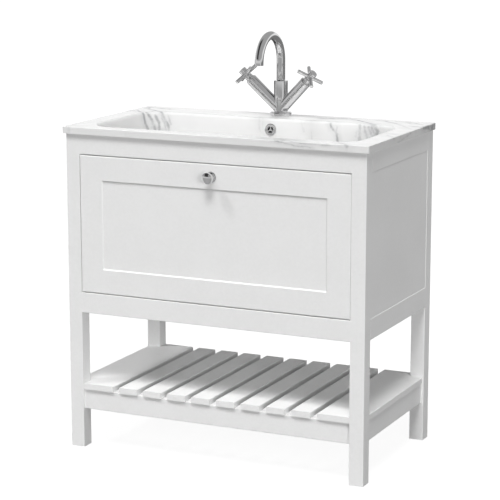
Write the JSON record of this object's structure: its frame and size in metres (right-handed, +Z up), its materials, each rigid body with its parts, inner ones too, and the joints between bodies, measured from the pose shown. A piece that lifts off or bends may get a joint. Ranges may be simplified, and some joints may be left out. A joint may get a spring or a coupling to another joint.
{
  "type": "vanity unit",
  "caption": "Floor-standing vanity unit with a marble-effect basin, swan-neck mixer tap, deep drawer with a round knob, and an open slatted shelf on square legs.",
  "frame": {"origin": "on the floor under the middle of the unit, midway between the knob's face and the wall", "axes": "+X to the right as seen from the front, +Y to the wall, +Z up"},
  "size_m": [0.814, 0.482, 1.045],
  "materials": {
    "painted_wood": "satin white paint",
    "drawer_board": "pale grey foil",
    "marble_resin": "polished white with grey veins",
    "chrome_plate": "polished",
    "zinc_steel": "zinc plated",
    "valve_brass": "machined",
    "black_rubber": "moulded",
    "grey_plastic": "moulded"
  },
  "bodies": {
    "cabinet": {"back_bottom_rail": "painted_wood", "back_top_rail": "painted_wood", "basin": "marble_resin", "cabinet_floor": "painted_wood", "end_slat_left": "painted_wood", "end_slat_right": "painted_wood", "frame_screws": "zinc_steel", "front_bottom_rail": "painted_wood", "front_top_rail": "painted_wood", "horseshoe_washer": "zinc_steel", "leg_back_left": "painted_wood", "leg_back_right": "painted_wood", "leg_front_left": "painted_wood", "leg_front_right": "painted_wood", "leg_glides": "grey_plastic", "overflow_ring": "chrome_plate", "runner_batten_left": "painted_wood", "runner_batten_right": "painted_wood", "runner_cabinet_members": "zinc_steel", "shelf_rail_back": "painted_wood", "shelf_rail_front": "painted_wood", "shelf_rail_left": "painted_wood", "shelf_rail_right": "painted_wood", "side_bottom_rail_left": "painted_wood", "side_bottom_rail_right": "painted_wood", "side_panel_left": "painted_wood", "side_panel_right": "painted_wood", "side_top_rail_left": "painted_wood", "side_top_rail_right": "painted_wood", "slat_left_1": "painted_wood", "slat_left_2": "painted_wood", "slat_left_3": "painted_wood", "slat_left_4": "painted_wood", "slat_right_1": "painted_wood", "slat_right_2": "painted_wood", "slat_right_3": "painted_wood", "slat_right_4": "painted_wood", "stud_nut": "zinc_steel", "tap_base": "chrome_plate", "tap_body": "chrome_plate", "tap_stud": "zinc_steel", "valve_cartridges": "valve_brass", "waste_body": "chrome_plate", "waste_nut": "zinc_steel", "waste_washer": "black_rubber"},
    "drawer": {"drawer_front": "painted_wood", "drawer_side_left": "drawer_board", "drawer_side_right": "drawer_board", "drawer_box_front": "drawer_board", "drawer_box_back": "drawer_board", "drawer_bottom": "drawer_board", "knob": "chrome_plate", "runner_drawer_members": "zinc_steel", "drawer_screws": "zinc_steel"},
    "middle_runners": {"runner_middle_members": "zinc_steel"},
    "spout": {"spout": "chrome_plate", "flow_straightener": "grey_plastic"},
    "handle_left": {"handle_left": "chrome_plate"},
    "handle_right": {"handle_right": "chrome_plate"},
    "plug": {"waste_plug": "chrome_plate"}
  },
  "joints": [
    {"name": "drawer_slide", "type": "slide", "parent": "cabinet", "child": "drawer", "axis": [0, -1, 0], "range_m": [0, 0.35]},
    {"name": "middle_runner_slide", "type": "slide", "parent": "cabinet", "child": "middle_runners", "axis": [0, -1, 0], "range_m": [0, 0.175]},
    {"name": "spout_swivel", "type": "hinge", "parent": "cabinet", "child": "spout", "pos_m": [0, 0.1965, 0.9143], "axis": [0, 0, 1], "range_deg": [-60, 60]},
    {"name": "left_handle_turn", "type": "hinge", "parent": "cabinet", "child": "handle_left", "pos_m": [0, 0.1965, 0.8386], "axis": [-0.6989, -0.1485, 0.6997], "range_deg": [0, 90]},
    {"name": "right_handle_turn", "type": "hinge", "parent": "cabinet", "child": "handle_right", "pos_m": [0, 0.1965, 0.8386], "axis": [0.6989, -0.1485, 0.6997], "range_deg": [-90, 0]},
    {"name": "plug_rise", "type": "slide", "parent": "cabinet", "child": "plug", "axis": [0, 0, 1], "range_m": [0, 0.008]}
  ],
  "couplings": [
    {"joint": "middle_runner_slide", "follows": "drawer_slide", "ratio": 0.5}
  ]
}
